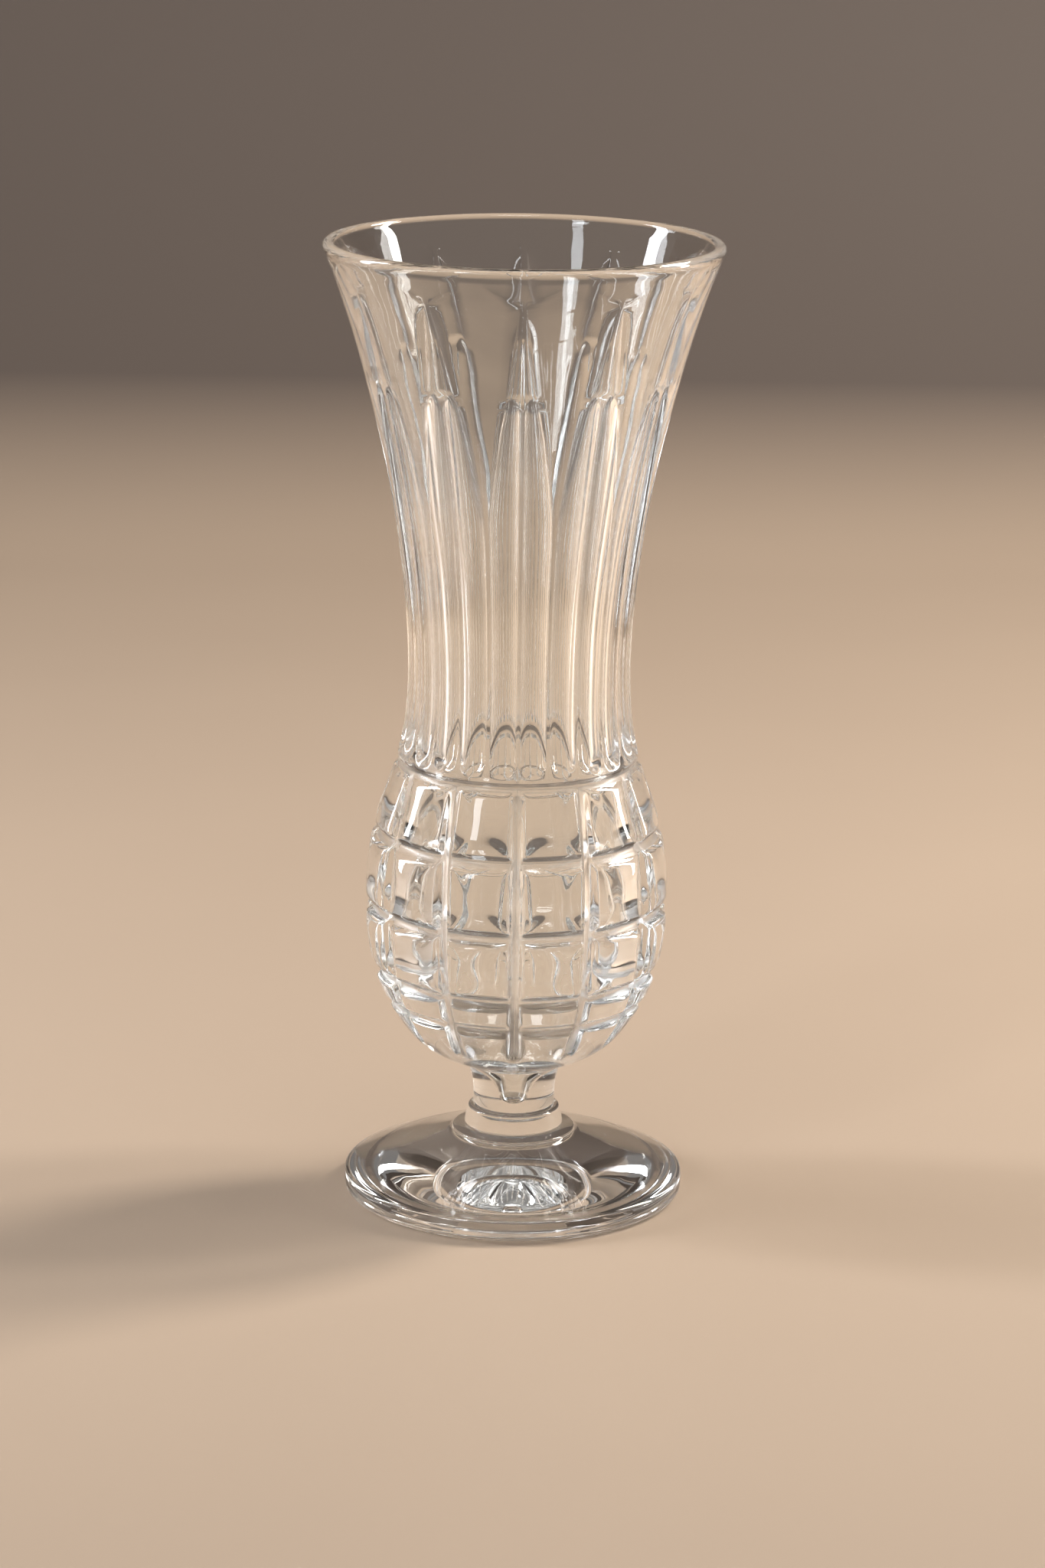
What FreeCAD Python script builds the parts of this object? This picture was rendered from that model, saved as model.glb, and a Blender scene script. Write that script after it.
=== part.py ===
import FreeCAD, Part
import math
import os

# Footed bud vase in pressed clear glass.
# Millimetres, +Z up, origin at the centre of the face the foot stands on.

# ---------------------------------------------------------------- driving dimensions
height = 180.0              # table to the top of the lip
mouth_radius = 36.4         # outside of the lip
lip_radius = 1.1            # half the wall thickness at the lip
waist_radius = 20.5         # narrowest part of the trumpet
waist_height = 101.0
bulb_radius = 28.4          # over the tops of the lattice blocks
bulb_height = 57.5          # level of the widest part of the bulb
stem_radius = 7.6
foot_radius = 31.8

joint_collar_bowl = 16.6    # fused joint between the collar wafer and the bowl's stem
joint_foot_collar = 12.7    # fused joint between the foot and the collar wafer
collar_bottom_radius = 9.3  # the collar narrows a little towards the stem
collar_top_radius = 8.6
collar_round = 0.6

shoulder_flat = 9.0         # level part of the foot's top, under the collar
shoulder_radius = 11.5      # low sloping ring round it
shoulder_round = 0.4
shoulder_step = 0.45        # height of the ring's edge above the dome
dome_start = 11.55          # level at which the dome leaves the ring
dome_points = ((17.0, 9.6), (24.0, 7.4))
foot_edge_top = 4.4         # where the dome meets the rounded edge
foot_edge_inset = 0.7       # width and height of that rounding
foot_edge_drop = 0.85
foot_edge_bottom = 2.2      # where the upright side turns under
standing_outer = 30.6       # standing ring the vase rests on
standing_inner = 26.4
recess_height = 0.6         # hollow of the underside inside the standing ring
recess_run = 3.0            # width over which the hollow reaches its full height

columns = 12                # vertical grooves round the vase
lattice_bottom = 30.0
lattice_top = 84.4
valley_depth = 2.3          # fall of a puffed lattice block from its middle to the vertical grooves
line_groove_depth = 1.3     # depth of the narrow groove between two blocks
groove_floor = 1.6          # width of the flat floor of a lattice groove
groove_wall_angle = 23.0    # slope of its side walls from the radius, degrees
rings = (                   # ring grooves: level, fall of the rows beside it, depth of the groove
    (83.5, 0.3, 0.7),
    (70.5, 0.9, 1.0),
    (56.5, 1.2, 1.1),
    (43.9, 1.0, 1.0),
    (38.1, 0.4, 0.8),
)
ring_round = 1.3            # radius of the round section of a ring groove
puff = 4                    # how squarely a puffed block keeps its height before its edge falls away
end_reach = 2.5             # reach of the fall above the first ring and below the last

channel_bottom = 85.5       # two long channels lie between neighbouring column lines
channel_top = 156.1
channel_depth = 1.2
channel_power = 2.6         # steepness of the sides of a channel
channel_foot = 2.8          # height over which its lower end closes
channel_arch = 3.0          # height over which it closes into its arch
ridge_half = 1.0           # half-width of the ridge on a column line, degrees
edge_line = (               # outer edge of a channel, then of the lancet: height, degrees from the column line
    (0.0, 14.0),
    (128.0, 14.0),
    (133.0, 13.5),
    (138.0, 12.0),
    (148.5, 8.6),
    (154.0, 6.4),
    (156.5, 5.4),
    (173.5, 0.8),
    (200.0, 0.8),
)
lancet_bottom = 155.4
lancet_top = 173.5          # point of the lancet above each pair of arches
lancet_depth = 0.5
lancet_start = 1.2          # height over which it reaches its depth above the arches
lancet_fade = 6.0           # height over which the lancet runs out to its point
cutter_reach = 6.0          # how far a cutter stands out from the wall
skin = 0.04                 # how far the edges of a cutter stand above the wall it cuts

well_radius = 1.8           # narrow well that ends the hollow inside the stem
well_tip = 17.3
axis = FreeCAD.Vector(0, 0, 1)
centre = FreeCAD.Vector(0, 0, 0)


def at(radius, z, across=0.0):
    return FreeCAD.Vector(radius, across, z)


def spline(points):
    """Smooth curve through (radius, height) points in the XZ plane."""
    curve = Part.BSplineCurve()
    curve.interpolate([at(r, z) for r, z in points])
    return curve


def line(a, b):
    return Part.LineSegment(a, b).toShape()


def arc(a, b, c):
    """Arc through three (radius, height) points."""
    return Part.Arc(at(*a), at(*b), at(*c)).toShape()


def revolve(edges):
    """Solid of revolution from a closed chain of edges in the XZ plane."""
    face = Part.Face(Part.Wire(edges))
    solid = face.revolve(centre, axis, 360)
    return Part.Solid(solid.Shells[0]) if solid.ShapeType != "Solid" else solid


# ---------------------------------------------------------------- outer and inner walls
outer_points = [
    (stem_radius, joint_collar_bowl),
    (stem_radius + 0.05, 20.0),
    (stem_radius + 0.5, 22.8),
    (stem_radius + 1.5, 24.9),
    (12.0, 26.4),
    (15.4, 28.0),
    (18.7, 30.4),
    (21.5, 33.8),
    (24.9, 39.6),
    (27.5, 48.0),
    (bulb_radius, bulb_height),
    (27.6, 68.0),
    (25.4, 76.0),
    (22.7, 83.6),
    (21.1, 91.0),
    (waist_radius, waist_height),
    (21.7, 119.5),
    (23.9, 134.5),
    (27.1, 149.0),
    (30.5, 161.8),
    (33.7, 171.7),
    (mouth_radius, height - lip_radius),
]
outer_curve = spline(outer_points)

inner_points = [
    (mouth_radius - 2 * lip_radius, height - lip_radius),
    (30.8, 171.0),
    (26.9, 160.5),
    (23.4, 148.5),
    (20.0, 133.5),
    (17.4, 118.0),
    (16.2, waist_height),
    (16.6, 88.0),
    (18.6, 76.0),
    (20.4, 64.0),
    (20.2, 52.0),
    (17.4, 42.0),
    (11.6, 33.6),
    (6.2, 27.6),
    (3.1, 23.6),
    (well_radius, well_tip + well_radius),
]
inner_curve = spline(inner_points)


def outer_at(z):
    """Radius of the smooth outer wall at height z, before the pattern."""
    level = Part.LineSegment(at(0.0, z), at(mouth_radius * 2, z))
    return outer_curve.intersect(level)[0].X


def spaced(low, high, count):
    return [low + (high - low) * k / (count - 1) for k in range(count)]


def puffed(share):
    """Fall of a block from its middle (share 1) to its edge (share 0)."""
    return (1 - min(1.0, share)) ** puff


def row_fall(z):
    """Fall of the puffed rows of blocks towards the nearest ring groove."""
    level, fall, groove = min(rings, key=lambda ring: abs(ring[0] - z))
    gaps = [abs(other[0] - level) / 2 for other in rings if (other[0] - level) * (z - level) > 0]
    return fall * puffed(abs(z - level) / min(gaps or [end_reach]))


def puffed_wall():
    """Outer profile with the rows of blocks puffed out between the ring grooves."""
    centres = sorted(ring[0] for ring in rings)
    levels = [level + step * ring_round for level in centres for step in (-2, -1, 0, 1, 2)]
    levels += [(a + b) / 2 for a, b in zip(centres, centres[1:]) if b - a > 6 * ring_round]
    levels.sort()
    below = [p for p in outer_points if p[1] < levels[0] - 1.0]
    above = [p for p in outer_points if p[1] > levels[-1] + 1.0]
    return spline(below + [(outer_at(z) - row_fall(z), z) for z in levels] + above)


def bowl_blank():
    """Revolved bowl, trumpet, bulb and stem before any groove is cut."""
    lip = arc((mouth_radius, height - lip_radius), (mouth_radius - lip_radius, height),
              (mouth_radius - 2 * lip_radius, height - lip_radius))
    slant = well_radius * math.sin(math.pi / 4)
    tip = arc((well_radius, well_tip + well_radius), (slant, well_tip + well_radius - slant), (0.0, well_tip))
    return revolve([
        puffed_wall().toShape(),
        lip,
        inner_curve.toShape(),
        tip,
        line(at(0.0, well_tip), at(0.0, joint_collar_bowl)),
        line(at(0.0, joint_collar_bowl), at(stem_radius, joint_collar_bowl)),
    ])


# ---------------------------------------------------------------- grooves
def floor_cutter(levels, section_at):
    """Cutter whose inner face passes through the points of section_at(z): (degrees, depth) pairs."""
    rows = []
    for z in levels:
        radius = outer_at(z)
        rows.append([at((radius - depth) * math.cos(math.radians(turn)), z,
                        (radius - depth) * math.sin(math.radians(turn))) for turn, depth in section_at(z)])
    surface = Part.BSplineSurface()
    surface.interpolate(rows)
    middle = math.radians(sum(turn for turn, depth in section_at(levels[0])) / len(rows[0]))
    outward = at(cutter_reach * math.cos(middle), 0.0, cutter_reach * math.sin(middle))
    return Part.Solid(surface.toShape().extrude(outward))


def swell(z):
    """Share of the full lattice depth: little at the ends of the bulb, all at its widest part."""
    turn = (z - lattice_bottom + 4.0) / (lattice_top - lattice_bottom + 9.0)
    return math.sin(math.pi * turn) ** 1.3


def valley_section(z):
    half = [0.0, 2.0, 4.5, 8.0, 12.0]
    falls = [(turn, valley_depth * swell(z) * puffed(turn / 15.0) - 2 * skin) for turn in half]
    return [(-turn, fall) for turn, fall in falls[:0:-1]] + falls


def line_cutter():
    """Narrow flat-floored groove along a column line of the lattice."""
    half = groove_floor / 2
    spread = cutter_reach * math.tan(math.radians(groove_wall_angle))
    path = [(outer_at(z) - (valley_depth + line_groove_depth) * swell(z), z)
            for z in spaced(lattice_bottom, lattice_top, 9)]

    def rail(out, across):
        return spline([(r + out, z) for r, z in path]).toShape().translated(at(0.0, 0.0, across))

    rails = [rail(cutter_reach, -half - spread), rail(0.0, -half), rail(0.0, half),
             rail(cutter_reach, half + spread)]
    count = len(rails)
    faces = [Part.makeRuledSurface(rails[k], rails[(k + 1) % count]) for k in range(count)]
    for end in (0, -1):
        corners = [r.Vertexes[end].Point for r in rails]
        faces.append(Part.Face(Part.makePolygon(corners + corners[:1])))
    return Part.Solid(Part.makeShell(faces))


def ring_cutter(level, fall, depth):
    """Ring groove with a round section, square to the axis."""
    return Part.makeTorus(outer_at(level) - fall - depth + ring_round, ring_round, at(0.0, level))


def edge_angle(z):
    """Degrees from a column line to the outer edge of its channel or lancet."""
    for (z0, a0), (z1, a1) in zip(edge_line, edge_line[1:]):
        if z <= z1:
            return a0 + (a1 - a0) * (z - z0) / (z1 - z0)
    return edge_line[-1][1]


places = (-1.0, -0.7, -0.3, 0.3, 0.7, 1.0)   # points across a channel or a lancet, from edge to edge


def channel_section(z):
    """Concave channel: full depth along the neck, closing in an arch above and a round end below."""
    closing = max((z - channel_top + channel_arch) / channel_arch,
                  (channel_bottom + channel_foot - z) / channel_foot, 0.0)
    edge = edge_angle(z)
    return [(ridge_half + (edge - ridge_half) * (place + 1) / 2,
             channel_depth * (1 - math.hypot(closing, place) ** channel_power) - skin) for place in places]


def lancet_section(z):
    """Shallow panel that starts above the arches and runs out to a point."""
    share = min(1.0, (lancet_top - z) / lancet_fade, (z - lancet_bottom) / lancet_start)
    edge = edge_angle(z)
    return [(edge * place, lancet_depth * share * (1 - abs(place) ** channel_power) - skin) for place in places]


def around(cutter, mirrored=False):
    """Copies of a cutter on every column line; mirrored ones lie on the other side of each line."""
    pitch = 360.0 / columns
    copies = [cutter.rotated(centre, axis, -90 + pitch * k) for k in range(columns)]
    if mirrored:
        other = cutter.mirror(centre, FreeCAD.Vector(0, 1, 0))
        copies += [other.rotated(centre, axis, -90 + pitch * k) for k in range(columns)]
    return copies


def bowl():
    channel_run = [channel_bottom + 7.0, 108.0, 126.0, 133.0, 139.0, channel_top - channel_arch - 4.0]
    channel_levels = (spaced(channel_bottom - 0.2, channel_bottom + channel_foot, 4) + channel_run
                      + spaced(channel_top - channel_arch, channel_top + 0.2, 4))
    lancet_levels = [lancet_bottom, lancet_bottom + lancet_start, 161.0, lancet_top - lancet_fade, lancet_top]
    channels = around(floor_cutter(channel_levels, channel_section), mirrored=True)
    lancets = around(floor_cutter(lancet_levels, lancet_section))
    valleys = around(floor_cutter(spaced(lattice_bottom, lattice_top, 8), valley_section))
    lines = around(line_cutter())
    ring_grooves = [ring_cutter(*ring) for ring in rings]
    body = bowl_blank()
    for cutters in (channels, lancets, valleys, lines, ring_grooves):
        body = body.cut(cutters)
    return body


# ---------------------------------------------------------------- collar wafer and foot
def collar_wafer():
    """Round wafer that narrows upwards, with softened rims."""
    low, high, soft = joint_foot_collar, joint_collar_bowl, collar_round
    bevel = soft * (1 - math.cos(math.pi / 4))
    return revolve([
        line(at(0.0, low), at(collar_bottom_radius - soft, low)),
        arc((collar_bottom_radius - soft, low), (collar_bottom_radius - bevel, low + bevel),
            (collar_bottom_radius, low + soft)),
        line(at(collar_bottom_radius, low + soft), at(collar_top_radius, high - soft)),
        arc((collar_top_radius, high - soft), (collar_top_radius - bevel, high - bevel),
            (collar_top_radius - soft, high)),
        line(at(collar_top_radius - soft, high), at(0.0, high)),
        line(at(0.0, high), at(0.0, low)),
    ])


def foot():
    """Domed disc with a low ring on top, an upright rounded edge and a shallow hollow underneath."""
    top = joint_foot_collar
    ring_top = dome_start + shoulder_step
    ring_crest = ring_top + shoulder_round
    ring_inner = shoulder_radius - shoulder_round
    ring_bevel = shoulder_round * (1 - math.cos(math.pi / 4))
    side = foot_radius - foot_edge_inset
    side_top = foot_edge_top - foot_edge_drop
    flat_hollow = standing_inner - recess_run
    dome = spline([(shoulder_radius, dome_start), *dome_points, (side, foot_edge_top)])
    return revolve([
        line(at(0.0, top), at(shoulder_flat, top)),
        line(at(shoulder_flat, top), at(ring_inner, ring_crest)),
        arc((ring_inner, ring_crest), (shoulder_radius - ring_bevel, ring_crest - ring_bevel),
            (shoulder_radius, ring_top)),
        line(at(shoulder_radius, ring_top), at(shoulder_radius, dome_start)),
        dome.toShape(),
        arc((side, foot_edge_top), (foot_radius - foot_edge_inset / 4, foot_edge_top - foot_edge_drop / 2.7),
            (foot_radius, side_top)),
        line(at(foot_radius, side_top), at(foot_radius, foot_edge_bottom)),
        arc((foot_radius, foot_edge_bottom), (foot_radius - foot_edge_inset / 3, foot_edge_bottom * 0.36),
            (standing_outer, 0.0)),
        line(at(standing_outer, 0.0), at(standing_inner, 0.0)),
        arc((standing_inner, 0.0), (standing_inner - recess_run * 0.42, recess_height * 0.7),
            (flat_hollow, recess_height)),
        line(at(flat_hollow, recess_height), at(0.0, recess_height)),
        line(at(0.0, recess_height), at(0.0, top)),
    ])


os.makedirs("parts", exist_ok=True)
for name, shape in (("bowl", bowl()), ("collar_wafer", collar_wafer()), ("foot", foot())):
    solid = shape.Solids[0]
    print(name, "solids", len(shape.Solids), "valid", solid.isValid(), "volume", round(solid.Volume))
    solid.exportStep("parts/" + name + ".step")
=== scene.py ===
"""Look of the footed bud vase in pressed clear glass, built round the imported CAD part. Metres, +Z up."""
import math

import bpy
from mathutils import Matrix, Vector


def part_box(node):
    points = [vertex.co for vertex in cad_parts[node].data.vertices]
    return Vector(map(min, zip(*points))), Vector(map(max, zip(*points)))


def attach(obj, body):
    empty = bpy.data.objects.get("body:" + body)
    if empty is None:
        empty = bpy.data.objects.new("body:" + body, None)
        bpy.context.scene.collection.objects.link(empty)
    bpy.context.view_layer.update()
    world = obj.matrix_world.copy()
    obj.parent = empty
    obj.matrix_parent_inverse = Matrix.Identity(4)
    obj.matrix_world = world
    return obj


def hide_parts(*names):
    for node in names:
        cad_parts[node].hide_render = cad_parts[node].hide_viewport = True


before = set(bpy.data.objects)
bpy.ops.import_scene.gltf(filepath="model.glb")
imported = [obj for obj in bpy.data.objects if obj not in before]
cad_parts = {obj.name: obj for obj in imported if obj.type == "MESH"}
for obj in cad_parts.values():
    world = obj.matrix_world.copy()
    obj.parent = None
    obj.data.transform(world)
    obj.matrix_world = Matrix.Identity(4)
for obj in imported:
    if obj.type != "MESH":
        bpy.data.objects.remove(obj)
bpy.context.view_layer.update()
MM = 0.001

# ---------------------------------------------------------------- sizes read from the frame
bowl_low, bowl_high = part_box("bowl")
collar_low, collar_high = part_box("collar_wafer")
foot_low, foot_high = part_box("foot")
MOUTH = bowl_high[0] / MM - 0.01
TOP = bowl_high[2] / MM - 0.01
STEM_JOINT = bowl_low[2] / MM
COLLAR_JOINT = collar_low[2] / MM
COLLAR_BOTTOM = collar_high[0] / MM - 0.01
FOOT = foot_high[0] / MM - 0.02

# ---------------------------------------------------------------- shape of the glass, mm
COLUMNS = 12
LIP = 1.1
STEM = 7.6
OUTER = [
    (STEM, STEM_JOINT), (STEM + 0.05, 20.0), (STEM + 0.5, 22.8), (STEM + 1.5, 24.9), (12.0, 26.4),
    (15.4, 28.0), (18.7, 30.4), (21.5, 33.8), (24.9, 39.6), (27.5, 48.0), (28.4, 57.5), (27.6, 68.0),
    (25.4, 76.0), (22.7, 83.6), (21.1, 91.0), (20.5, 101.0),
    (21.7, 119.5), (23.9, 134.5), (27.1, 149.0), (30.5, 161.8), (33.7, 171.7), (MOUTH, TOP - LIP),
]
INNER = [
    (MOUTH - 2 * LIP, TOP - LIP), (30.8, 171.0), (26.9, 160.5), (23.4, 148.5), (20.0, 133.5), (17.4, 118.0),
    (16.2, 101.0), (16.6, 88.0), (18.6, 76.0), (20.4, 64.0), (20.2, 52.0), (17.4, 42.0), (11.6, 33.6),
    (6.2, 27.6), (3.1, 23.6), (1.8, 19.1),
]
WELL_TIP = 17.3
LATTICE = (30.0, 84.4)
LATTICE_FADE = (3.0, 1.5)   # heights over which the lattice fades in at its bottom and out at its top
SWELL_BELOW = 4.0           # how far past the bottom and the top of the lattice its depth would reach 0
SWELL_ABOVE = 5.0
SWELL_POWER = 1.3
VALLEY = 2.3                # fall of a lattice block from its middle to the vertical grooves
LINE_GROOVE = 1.3           # depth of the narrow groove on each column line
GROOVE_FLOOR = 1.6          # width of the flat floor of a lattice groove
GROOVE_WALL = 0.55          # width of each of its side walls
FLOOR_REACH = 0.95          # half-width of the softly frosted floor of a ring groove
FLOOR_MARGIN = 2.0          # the groove floors are clear this far up from the bottom of the lattice
# ring grooves: height, fall of the puffed rows beside the groove, depth of the groove
RINGS = [(83.5, 0.3, 0.7), (70.5, 0.9, 1.0), (56.5, 1.2, 1.1), (43.9, 1.0, 1.0), (38.1, 0.4, 0.8)]
RING_ROUND = 1.3            # radius of the round section of a ring groove
RING_END_REACH = 2.5        # reach of the puffed row beyond the first and the last ring groove
PUFF = 4.0                  # how fast a puffed block falls away near its edge
CHANNEL = (85.5, 156.1)     # two channels between neighbouring column lines run this far
CHANNEL_DEPTH = 1.2
CHANNEL_POWER = 2.6         # steepness of the sides of a channel
CHANNEL_FOOT = 2.8
CHANNEL_ARCH = 3.0
RIDGE = 1.0                 # half-width of the ridge on a column line, degrees
# outer edge of a channel, then of the lancet above it: height and degrees from the column line
EDGE_LINE = [
    (0.0, 14.0), (128.0, 14.0), (133.0, 13.5), (138.0, 12.0), (148.5, 8.6), (154.0, 6.4), (156.5, 5.4),
    (173.5, 0.8), (200.0, 0.8),
]
LANCET = (155.4, 173.5)
LANCET_DEPTH = 0.5
LANCET_START = 1.2          # height over which a lancet deepens at its foot
LANCET_FADE = 6.0           # height over which it fades out to its tip
PITCH = 360.0 / COLUMNS     # degrees from one column line to the next
HALF_PITCH = PITCH / 2


def smooth(x):
    x = min(1.0, max(0.0, x))
    return x * x * (3 - 2 * x)


def natural_spline(points):
    """Parametric cubic through the points, by chord length; returns a function of the share of length."""
    gaps = [math.dist(a, b) for a, b in zip(points, points[1:])]
    knots = [0.0]
    for gap in gaps:
        knots.append(knots[-1] + gap)
    n = len(points)

    def second(values):
        a, b, c, d = [0.0] * n, [1.0] * n, [0.0] * n, [0.0] * n
        for i in range(1, n - 1):
            h0, h1 = gaps[i - 1], gaps[i]
            a[i], b[i], c[i] = h0, 2 * (h0 + h1), h1
            d[i] = 6 * ((values[i + 1] - values[i]) / h1 - (values[i] - values[i - 1]) / h0)
        for i in range(1, n):
            w = a[i] / b[i - 1]
            b[i] -= w * c[i - 1]
            d[i] -= w * d[i - 1]
        m = [0.0] * n
        m[-1] = d[-1] / b[-1]
        for i in range(n - 2, -1, -1):
            m[i] = (d[i] - c[i] * m[i + 1]) / b[i]
        return m

    rs, zs = [p[0] for p in points], [p[1] for p in points]
    mr, mz = second(rs), second(zs)

    def value(share):
        t = share * knots[-1]
        i = max(0, min(n - 2, next((k for k in range(n - 1) if knots[k + 1] >= t), n - 2)))
        h = gaps[i]
        u, v = knots[i + 1] - t, t - knots[i]

        def part(y, m):
            return ((m[i] * u ** 3 + m[i + 1] * v ** 3) / (6 * h)
                    + (y[i] / h - m[i] * h / 6) * u + (y[i + 1] / h - m[i + 1] * h / 6) * v)
        return part(rs, mr), part(zs, mz)
    return value


def swell(z):
    """Share of the full lattice depth: little at the ends of the bulb, all about its widest part."""
    low, high = LATTICE
    turn = (z - low + SWELL_BELOW) / (high - low + SWELL_BELOW + SWELL_ABOVE)
    return math.sin(math.pi * turn) ** SWELL_POWER if 0 < turn < 1 else 0.0


def puffed(share):
    """Fall of a block from its middle (share 1) to its edge (share 0)."""
    return (1 - min(1.0, share)) ** PUFF


def groove(distance):
    """Section of a lattice groove: 1 on its flat floor, falling to 0 at the top of its side walls."""
    return 1 - smooth((abs(distance) - GROOVE_FLOOR / 2) / GROOVE_WALL)


def ring_depth(z):
    """Depth of the ring grooves and of the puffed rows between them."""
    level, fall, deep = min(RINGS, key=lambda ring: abs(ring[0] - z))
    gaps = [abs(other[0] - level) / 2 for other in RINGS if (other[0] - level) * (z - level) > 0]
    reach = min(gaps) if gaps else RING_END_REACH
    away = min(RING_ROUND, abs(z - level))
    dip = deep - RING_ROUND + math.sqrt(RING_ROUND ** 2 - away ** 2)
    return fall * puffed(abs(z - level) / reach) + max(0.0, dip)


def edge_angle(z):
    """Degrees from a column line to the outer edge of its channel or lancet."""
    for (z0, a0), (z1, a1) in zip(EDGE_LINE, EDGE_LINE[1:]):
        if z <= z1:
            return a0 + (a1 - a0) * (z - z0) / (z1 - z0)
    return EDGE_LINE[-1][1]


def cut(z, turn, radius):
    """Depth cut into the outer wall at height z, at turn degrees from the nearest column line, mm."""
    low, high = LATTICE
    turn = abs(turn)
    depth = 0.0
    if low - 1 < z < high + 1:
        fade = smooth((z - low) / LATTICE_FADE[0]) * smooth((high + 1 - z) / LATTICE_FADE[1])
        across = math.radians(turn) * radius
        down = VALLEY * puffed(turn / HALF_PITCH) + LINE_GROOVE * groove(across)
        depth = max(down * swell(z), ring_depth(z)) * fade
    bottom, top = CHANNEL
    edge = edge_angle(z)
    if bottom < z < top:
        arch = (z - top + CHANNEL_ARCH) / CHANNEL_ARCH
        closing = max(arch, (bottom + CHANNEL_FOOT - z) / CHANNEL_FOOT, 0.0)
        place = 2 * (turn - RIDGE) / (edge - RIDGE) - 1
        depth = max(depth, CHANNEL_DEPTH * (1 - math.hypot(closing, place) ** CHANNEL_POWER))
    if LANCET[0] < z < LANCET[1]:
        opening = min(1.0, (LANCET[1] - z) / LANCET_FADE, (z - LANCET[0]) / LANCET_START)
        depth = max(depth, LANCET_DEPTH * opening * (1 - (turn / edge) ** CHANNEL_POWER))
    return depth


HALF_STEPS = 16             # mesh lines from a column line to half way to the next one
CHANNEL_STEPS = 12          # of these, how many lie across a channel
CROWDING = 1.4              # how much the lines of the lattice crowd towards the column line
NECK_START = (82.5, 3.5)    # height where the lattice's lines turn into the neck's, and over how much
EVEN_START = (LANCET[1] - 0.5, 4.0)     # the same for the even lines under the lip


def half_column_angles(z):
    """Degrees of the mesh lines from a column line to half way to the next one."""
    lattice = [HALF_PITCH * (k / HALF_STEPS) ** CROWDING for k in range(HALF_STEPS + 1)]
    edge = edge_angle(z)
    shares = [(1 - math.cos(math.pi * k / CHANNEL_STEPS)) / 2 for k in range(CHANNEL_STEPS + 1)]
    fluted = [0.0] + [RIDGE + (edge - RIDGE) * share for share in shares]
    rest = HALF_STEPS - CHANNEL_STEPS - 1
    fluted += [edge + (HALF_PITCH - edge) * k / rest for k in range(1, rest + 1)]
    mix = smooth((z - NECK_START[0]) / NECK_START[1])
    lines = [a + (b - a) * mix for a, b in zip(lattice, fluted)]
    mix = smooth((z - EVEN_START[0]) / EVEN_START[1])
    return [a + (HALF_PITCH * k / HALF_STEPS - a) * mix for k, a in enumerate(lines)]


def mesh_turns(z):
    """(angle round the vase in radians, degrees from the nearest column line) of every mesh line."""
    half = half_column_angles(z)
    spread = half[:-1] + [PITCH - a for a in half[:0:-1]]
    near = half[:-1] + half[:0:-1]
    return [(math.radians(PITCH * column + a), turn)
            for column in range(COLUMNS) for a, turn in zip(spread, near)]


SHORTEST_SHARE = 0.3        # the last stretch of a row of points is at least this share of a step


def rows_along(points, step_at):
    """(radius, height) pairs along the spline, as far apart as step_at says; no short last stretch."""
    value = natural_spline(points)
    length = sum(math.dist(a, b) for a, b in zip(points, points[1:]))
    rows, share = [value(0.0)], 0.0
    while True:
        share += step_at(rows[-1][1]) / length
        if share >= 1 - SHORTEST_SHARE * step_at(rows[-1][1]) / length:
            break
        rows.append(value(share))
    rows.append(value(1.0))
    return rows


STEM_TOP = 28
LATTICE_TOP = 91
ARCHES = (151, 158)


def outer_step(z):
    """Distance between the rows of the outer wall, mm: close where there is relief, wide on the flutes."""
    if z < STEM_TOP:
        return 0.8
    if z < LATTICE_TOP:
        return 0.58
    if ARCHES[0] < z < ARCHES[1]:
        return 0.4
    return 1.3


def spin(angle, radius, z):
    """Point on the vase in metres; angle 0 is the column that faces the camera at azimuth 0."""
    return (radius * math.sin(angle) * MM, -radius * math.cos(angle) * MM, z * MM)


CLEAR, JOINT, SOFT = 0, 1, 2        # finishes of a face: clear glass, fused joint, frosted groove floor


class Surface:
    """Vertices and faces of one closed glass piece, each face with its finish."""

    def __init__(self):
        self.points, self.faces, self.finish = [], [], []

    def ring(self, angles, radius_at, z):
        start = len(self.points)
        self.points += [spin(a, radius_at(a), z) for a in angles]
        return list(range(start, len(self.points)))

    def face(self, corners, finish=CLEAR):
        self.faces.append(corners)
        self.finish.append(finish)

    def band(self, low, high, finish=CLEAR, finishes=None):
        """Faces between two rings; the low ring may have several points for each of the high ring."""
        many, few = len(low), len(high)
        ratio = many // few
        for k in range(few):
            below = [low[(k * ratio + j) % many] for j in range(ratio + 1)]
            self.face(below + [high[(k + 1) % few], high[k]], finishes[k] if finishes else finish)

    def cap(self, ring, z, upward, finish=CLEAR):
        self.points.append((0.0, 0.0, z * MM))
        tip = len(self.points) - 1
        for k, point in enumerate(ring):
            following = ring[(k + 1) % len(ring)]
            self.face([point, following, tip] if upward else [following, point, tip], finish)

    def build(self, name, materials):
        mesh = bpy.data.meshes.new(name)
        mesh.from_pydata(self.points, [], self.faces)
        for material in materials:
            mesh.materials.append(material)
        for polygon, finish in zip(mesh.polygons, self.finish):
            polygon.use_smooth = finish != JOINT
            polygon.material_index = finish
        mesh.update()
        piece = bpy.data.objects.new(name, mesh)
        bpy.context.collection.objects.link(piece)
        return piece


def on_groove_floor(z, turn, radius):
    """Whether a point of the outer wall lies on the floor of a ring groove or of a vertical groove."""
    if not LATTICE[0] + FLOOR_MARGIN < z < RINGS[0][0] + FLOOR_REACH:
        return False
    on_ring = min(abs(z - ring[0]) for ring in RINGS) < FLOOR_REACH
    return on_ring or math.radians(abs(turn)) * radius < GROOVE_FLOOR / 2


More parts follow.
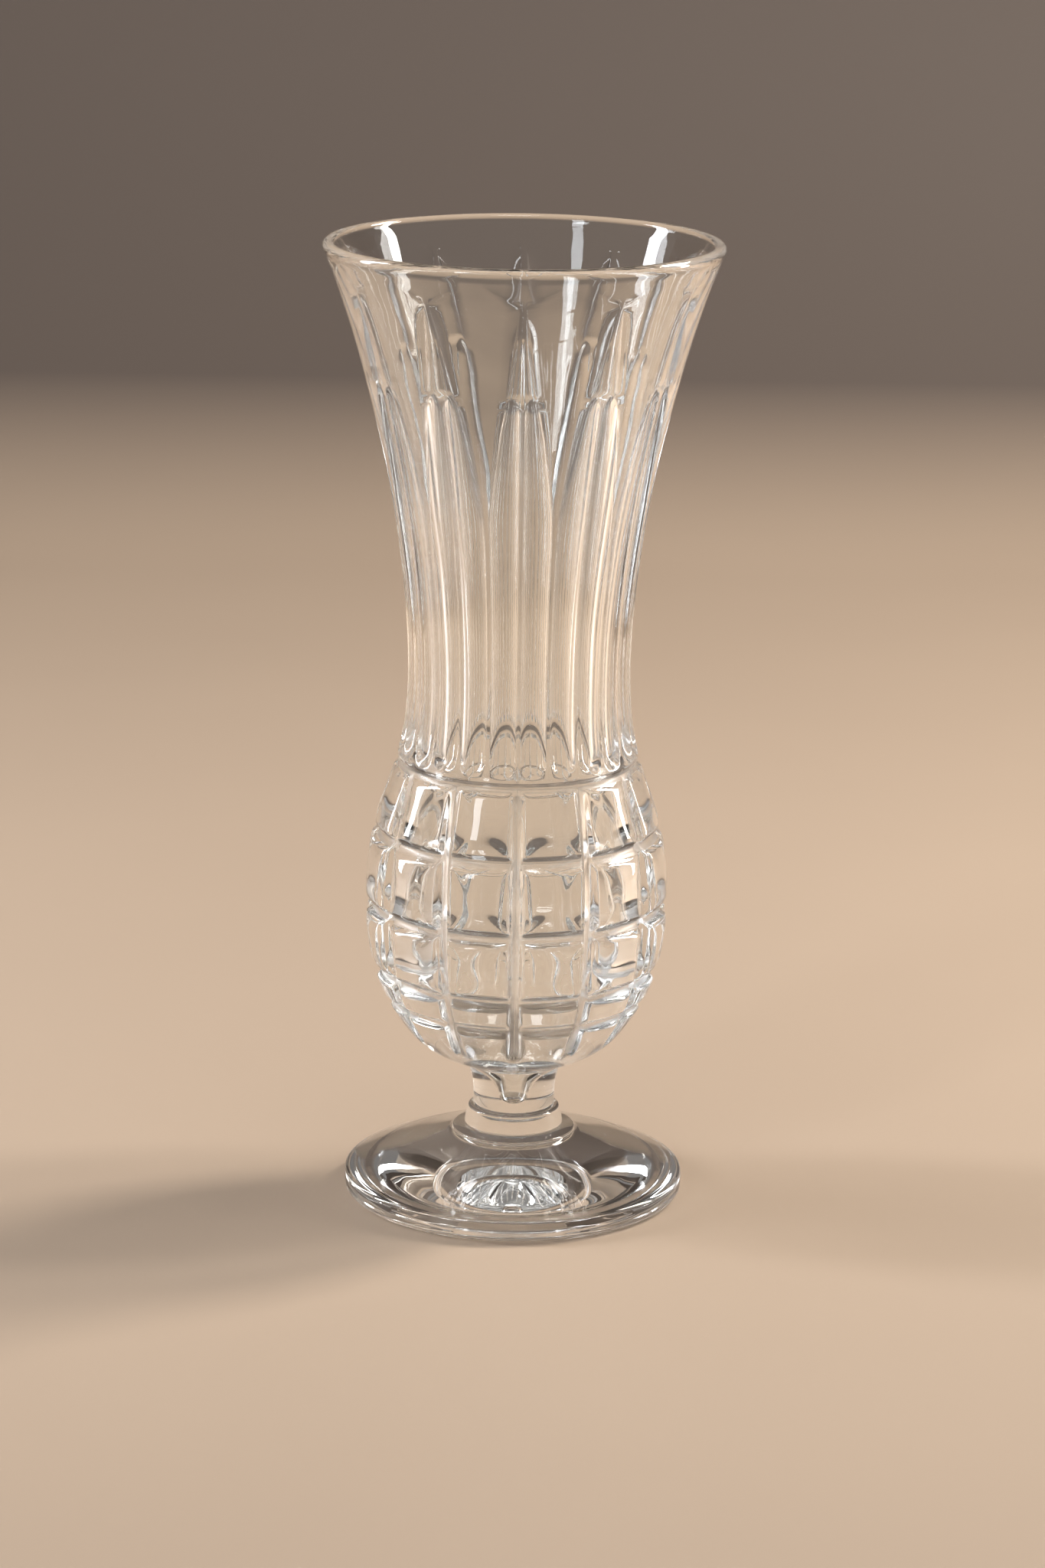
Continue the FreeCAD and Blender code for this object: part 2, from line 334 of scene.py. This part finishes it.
LIP_STEPS = 8
TIP_STEPS = 4
INNER_EVERY = 4             # the inner wall has one mesh line for this many of the lip
BULB_FLOOR = 40             # below this the inner rows are closer together


def inner_step(z):
    return 0.9 if z < BULB_FLOOR else 1.8


def bowl_surface():
    """Outer wall with its relief from the stem joint up, round the lip, and the smooth inner wall down."""
    surface = Surface()
    previous = below = None
    for radius, z in rows_along(OUTER, outer_step):
        turns = mesh_turns(z)
        depth = {angle: cut(z, turn, radius) for angle, turn in turns}
        ring = surface.ring([angle for angle, turn in turns], lambda a: radius - depth[a], z)
        if previous is None:
            surface.cap(ring, z, upward=False, finish=JOINT)
        else:
            middle = (z + below) / 2
            finishes = [SOFT if on_groove_floor(middle, (a + b) / 2, radius) else CLEAR
                        for (_, a), (_, b) in zip(turns, turns[1:] + turns[:1])]
            surface.band(previous, ring, finishes=finishes)
        previous, below = ring, z
    lip_angles = [angle for angle, turn in mesh_turns(TOP)]
    for k in range(1, LIP_STEPS + 1):
        turn = math.pi * k / LIP_STEPS
        ring = surface.ring(lip_angles, lambda a: MOUTH - LIP + LIP * math.cos(turn),
                            TOP - LIP + LIP * math.sin(turn))
        surface.band(previous, ring)
        previous = ring
    inner_angles = [2 * math.pi * k / len(lip_angles) for k in range(0, len(lip_angles), INNER_EVERY)]
    for radius, z in rows_along(INNER, inner_step)[1:]:
        ring = surface.ring(inner_angles, lambda a: radius + ripple(a, z), z)
        surface.band(previous, ring)
        previous = ring
    tip_radius, tip_level = INNER[-1]
    for k in range(1, TIP_STEPS):
        turn = math.pi / 2 * k / TIP_STEPS
        ring = surface.ring(inner_angles, lambda a: tip_radius * math.cos(turn),
                            tip_level - (tip_level - WELL_TIP) * math.sin(turn))
        surface.band(previous, ring)
        previous = ring
    surface.cap(previous, WELL_TIP, upward=True)
    return surface


RIPPLE = 0.05
RIPPLE_LEVELS = (30, 172)   # the ripple fades in above the first and out below the second
RIPPLE_FADE = 20


def ripple(angle, z):
    """Slow unevenness of the pressed inner wall, mm: a wandering wave up it and three waves round it."""
    low, high = RIPPLE_LEVELS
    fade = smooth((z - low) / RIPPLE_FADE) * smooth((high - z) / RIPPLE_FADE)
    return RIPPLE * fade * (math.sin(0.31 * z + 2.1 * math.sin(angle)) + math.sin(3 * angle + 0.11 * z))


def turned_piece(profile, joints, segments=192):
    """Closed solid of revolution from (radius, height) points that start and end on the axis.

    joints lists the numbers of the profile's stretches that are fused to the next piece.
    """
    surface = Surface()
    angles = [2 * math.pi * k / segments for k in range(segments)]
    previous = None
    for k in range(1, len(profile) - 1):
        radius, z = profile[k]
        ring = surface.ring(angles, lambda a: radius, z)
        if previous is None:
            surface.cap(ring, profile[0][1], upward=False, finish=JOINT if 0 in joints else CLEAR)
        else:
            surface.band(previous, ring, finish=JOINT if k - 1 in joints else CLEAR)
        previous = ring
    last = len(profile) - 2
    surface.cap(previous, profile[-1][1], upward=True, finish=JOINT if last in joints else CLEAR)
    return surface


def corner(centre_r, centre_z, radius, start, end, steps=6):
    """Points of a rounded corner from angle start to end, degrees from outward."""
    turns = [math.radians(start + (end - start) * k / steps) for k in range(steps + 1)]
    return [(centre_r + radius * math.cos(t), centre_z + radius * math.sin(t)) for t in turns]


# ---------------------------------------------------------------- materials
def node(tree, kind, **inputs):
    """New shader node with constants on its inputs."""
    made = tree.nodes.new(kind)
    for key, value in inputs.items():
        made.inputs[key.replace("_", " ")].default_value = value
    return made


GLASS_IOR = 1.5
TINT_DEEP = (0.972, 0.984, 0.976, 1)
TINT_PALE = (0.988, 0.992, 0.988, 1)
TINT_SCALE = 18.0
WAVE_SCALE = 140.0
WAVE_HEIGHT = 0.0002
WAVE_STRENGTH = 0.16
FROST = (0.22, 0.34)        # least and most roughness of the groove floors


def glass(name, least_rough=0.0, most_rough=0.02):
    """Pressed glass: faint grey-green tint, slightly wavy; the two roughnesses say how frosted it is."""
    material = bpy.data.materials.new(name)
    material.use_nodes = True
    tree = material.node_tree
    shader = tree.nodes["Principled BSDF"]
    shader.inputs["Transmission Weight"].default_value = 1.0
    shader.inputs["IOR"].default_value = GLASS_IOR
    place = tree.nodes.new("ShaderNodeTexCoord")
    tint_noise = node(tree, "ShaderNodeTexNoise", Scale=TINT_SCALE, Detail=2.0)
    tint = tree.nodes.new("ShaderNodeValToRGB")
    tint.color_ramp.elements[0].color = TINT_DEEP
    tint.color_ramp.elements[1].color = TINT_PALE
    polish = tree.nodes.new("ShaderNodeMapRange")
    polish.inputs["To Min"].default_value = least_rough
    polish.inputs["To Max"].default_value = most_rough
    wave = node(tree, "ShaderNodeTexNoise", Scale=WAVE_SCALE, Detail=1.0)
    bump = node(tree, "ShaderNodeBump", Strength=WAVE_STRENGTH, Distance=WAVE_HEIGHT)
    join = tree.links.new
    join(place.outputs["Object"], tint_noise.inputs["Vector"])
    join(tint_noise.outputs["Fac"], tint.inputs["Fac"])
    join(tint.outputs["Color"], shader.inputs["Base Color"])
    join(tint_noise.outputs["Fac"], polish.inputs["Value"])
    join(polish.outputs["Result"], shader.inputs["Roughness"])
    join(place.outputs["Object"], wave.inputs["Vector"])
    join(wave.outputs["Fac"], bump.inputs["Height"])
    join(bump.outputs["Normal"], shader.inputs["Normal"])
    return material


def joint_material():
    """Fused joint inside the glass: nothing is seen of it."""
    material = bpy.data.materials.new("fused_joint")
    material.use_nodes = True
    material.node_tree.nodes["Principled BSDF"].inputs["Alpha"].default_value = 0.0
    return material


fused = joint_material()
bowl_materials = [glass("bowl_glass"), fused, glass("groove_glass", *FROST)]
bowl = bowl_surface().build("vase_bowl", bowl_materials)

# ---------------------------------------------------------------- collar, mm
COLLAR_TOP = COLLAR_BOTTOM - 0.7
COLLAR_ROUND = 0.6
collar_profile = ([(0.0, COLLAR_JOINT), (COLLAR_BOTTOM - COLLAR_ROUND, COLLAR_JOINT)]
                  + corner(COLLAR_BOTTOM - COLLAR_ROUND, COLLAR_JOINT + COLLAR_ROUND, COLLAR_ROUND, -75, 0)
                  + corner(COLLAR_TOP - COLLAR_ROUND, STEM_JOINT - COLLAR_ROUND, COLLAR_ROUND, 0, 90)
                  + [(STEM, STEM_JOINT), (0.0, STEM_JOINT)])
collar = turned_piece(collar_profile, joints={0, len(collar_profile) - 2}).build(
    "vase_collar", [glass("collar_glass"), fused])

# ---------------------------------------------------------------- foot, mm
SHOULDER_FLAT = 9.0
SHOULDER = 11.5
SHOULDER_ROUND = 0.4
SHOULDER_STEP = 0.45
DOME_START = 11.55
DOME = [(17.0, 9.6), (24.0, 7.4)]
FOOT_INSET = 0.7            # the top of the foot's edge lies this far in from its side
EDGE_TOP = 4.4
EDGE_DROP = 0.85
EDGE_BOTTOM = 2.2
STANDING_OUTER = 30.6
STANDING_INNER = 26.4
RECESS = 0.6
RECESS_RUN = 3.0
CEILING_STEPS = 8
FOOT_SEGMENTS = 256


def foot_profile():
    """Half section from the joint down the dome, round the edge and in along the underside."""
    ring_top = DOME_START + SHOULDER_STEP
    side = FOOT - FOOT_INSET
    hollow_edge = STANDING_INNER - RECESS_RUN
    joint_face = [(0.0, COLLAR_JOINT), (COLLAR_BOTTOM - COLLAR_ROUND, COLLAR_JOINT)]
    dome = rows_along([(SHOULDER, DOME_START)] + DOME + [(side, EDGE_TOP)], lambda z: 1.2)
    rim = rows_along([(side, EDGE_TOP), (FOOT - 0.17, EDGE_TOP - 0.31), (FOOT, EDGE_TOP - EDGE_DROP)],
                     lambda z: 0.2)
    under = rows_along([(FOOT, EDGE_BOTTOM), (FOOT - 0.25, EDGE_BOTTOM - 1.4), (STANDING_OUTER, 0.0)],
                       lambda z: 0.25)
    hollow = rows_along([(STANDING_INNER, 0.0), (STANDING_INNER - RECESS_RUN * 0.42, RECESS * 0.7),
                         (hollow_edge, RECESS)], lambda z: 0.4)
    ceiling = [(hollow_edge * k / CEILING_STEPS, RECESS) for k in range(CEILING_STEPS - 1, -1, -1)]
    down = (joint_face + [(SHOULDER_FLAT, COLLAR_JOINT)]
            + corner(SHOULDER - SHOULDER_ROUND, ring_top, SHOULDER_ROUND, 70, 0)
            + dome + rim[1:] + under + hollow + ceiling)
    return down[::-1]


profile = foot_profile()
foot_surface = turned_piece(profile, joints={len(profile) - 2}, segments=FOOT_SEGMENTS)
foot = foot_surface.build("vase_foot", [glass("foot_glass"), fused])

for piece, part in ((bowl, "bowl"), (collar, "collar_wafer"), (foot, "foot")):
    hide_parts(part)
    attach(piece, "root")

# ---------------------------------------------------------------- studio, metres
FLOOR_GAP = 0.0001
FLOOR_HALF = 4.0
FLOOR_FRONT = -4.0
SWEEP_START = 0.55
SWEEP_RADIUS = 0.3
SWEEP_STEPS = 24
WALL_HEIGHT = 0.9
WALL_RISE = 0.035           # height over which the floor's colour turns into the wall's
FLOOR_DARK = (0.43, 0.325, 0.24, 1)
FLOOR_LIGHT = (0.48, 0.365, 0.27, 1)
WALL_COLOUR = (0.125, 0.098, 0.082, 1)


def sweep_sheet():
    """Backdrop: level floor, a quarter-round sweep behind the vase, then an upright wall."""
    section = [(FLOOR_FRONT, -FLOOR_GAP)]
    for k in range(SWEEP_STEPS + 1):
        turn = math.pi / 2 * k / SWEEP_STEPS
        section.append((SWEEP_START + SWEEP_RADIUS * math.sin(turn),
                        SWEEP_RADIUS * (1 - math.cos(turn)) - FLOOR_GAP))
    section.append((SWEEP_START + SWEEP_RADIUS, WALL_HEIGHT))
    corners = [(x, y, z) for y, z in section for x in (-FLOOR_HALF, FLOOR_HALF)]
    mesh = bpy.data.meshes.new("backdrop")
    strips = [(2 * k, 2 * k + 1, 2 * k + 3, 2 * k + 2) for k in range(len(section) - 1)]
    mesh.from_pydata(corners, [], strips)
    mesh.materials.append(backdrop_material())
    for polygon in mesh.polygons:
        polygon.use_smooth = True
    made = bpy.data.objects.new("backdrop", mesh)
    bpy.context.collection.objects.link(made)


def backdrop_material():
    """Matt paper, warm and pale on the floor and dark up the wall; the floor has a faint mottle."""
    material = bpy.data.materials.new("backdrop_paper")
    material.use_nodes = True
    tree = material.node_tree
    shader = tree.nodes["Principled BSDF"]
    shader.inputs["Roughness"].default_value = 0.6
    place = tree.nodes.new("ShaderNodeTexCoord")
    split = tree.nodes.new("ShaderNodeSeparateXYZ")
    rise = node(tree, "ShaderNodeMapRange")
    rise.inputs["From Min"].default_value = 0.0
    rise.inputs["From Max"].default_value = WALL_RISE
    mottle = node(tree, "ShaderNodeTexNoise", Scale=5.0, Detail=3.0)
    floor_ramp = tree.nodes.new("ShaderNodeValToRGB")
    floor_ramp.color_ramp.elements[0].color = FLOOR_DARK
    floor_ramp.color_ramp.elements[1].color = FLOOR_LIGHT
    mix = tree.nodes.new("ShaderNodeMixRGB")
    mix.inputs["Color2"].default_value = WALL_COLOUR
    join = tree.links.new
    join(place.outputs["Object"], mottle.inputs["Vector"])
    join(mottle.outputs["Fac"], floor_ramp.inputs["Fac"])
    join(place.outputs["Object"], split.inputs["Vector"])
    join(split.outputs["Z"], rise.inputs["Value"])
    join(rise.outputs["Result"], mix.inputs["Fac"])
    join(floor_ramp.outputs["Color"], mix.inputs["Color1"])
    join(mix.outputs["Color"], shader.inputs["Base Color"])
    return material


sweep_sheet()

AIM = Vector((0.0, 0.0, 0.09))


def soft_light(name, place, size, power, colour):
    """Rectangular area light turned towards the middle of the vase; place in metres, power in watts."""
    lamp = bpy.data.lights.new(name, "AREA")
    lamp.shape = "RECTANGLE"
    lamp.size, lamp.size_y = size
    lamp.energy = power
    lamp.color = colour
    made = bpy.data.objects.new(name, lamp)
    made.location = place
    made.rotation_euler = (AIM - Vector(place)).to_track_quat("-Z", "Y").to_euler()
    bpy.context.collection.objects.link(made)


soft_light("key", place=(0.75, 0.42, 0.85), size=(0.2, 0.3), power=9.6, colour=(1.0, 0.93, 0.84))
soft_light("right_strip", place=(0.62, 0.12, 0.32), size=(0.08, 0.6), power=4.2, colour=(1.0, 0.98, 0.95))
soft_light("left_strip", place=(-0.62, 0.10, 0.32), size=(0.10, 0.6), power=4.6, colour=(0.92, 0.95, 1.0))
soft_light("front_strip", place=(-0.55, -0.75, 0.55), size=(0.12, 0.4), power=1.6, colour=(0.9, 0.95, 1.0))
soft_light("top", place=(0.05, -0.1, 1.3), size=(0.3, 0.3), power=1.5, colour=(1.0, 0.97, 0.94))

WORLD_COLOUR = (0.45, 0.44, 0.435, 1)
WORLD_STRENGTH = 0.42
world = bpy.data.worlds.new("studio")
bpy.context.scene.world = world
world.use_nodes = True
world.node_tree.nodes["Background"].inputs["Color"].default_value = WORLD_COLOUR
world.node_tree.nodes["Background"].inputs["Strength"].default_value = WORLD_STRENGTH

# ---------------------------------------------------------------- camera
CAMERA_DISTANCE = 0.835
CAMERA_HEIGHT = 0.300
CAMERA_SIDE = 0.0009
CAMERA_PITCH = 14.84
CAMERA_ROLL = 0.75
LENS = 106.9
SENSOR = 36.0
lens = bpy.data.cameras.new("camera")
lens.sensor_fit = "VERTICAL"
lens.sensor_height = SENSOR
lens.lens = LENS
lens.clip_start = 0.01
camera = bpy.data.objects.new("camera", lens)
camera.location = (CAMERA_SIDE, -CAMERA_DISTANCE, CAMERA_HEIGHT)
camera.rotation_mode = "XYZ"
camera.rotation_euler = (math.radians(90 - CAMERA_PITCH), 0.0, 0.0)
camera.rotation_euler.rotate_axis("Z", math.radians(CAMERA_ROLL))
bpy.context.collection.objects.link(camera)
scene = bpy.context.scene
scene.view_settings.view_transform = "Standard"
scene.camera = camera
scene.cycles.max_bounces = 32
scene.cycles.transmission_bounces = 32
scene.cycles.glossy_bounces = 16
scene.cycles.transparent_max_bounces = 32
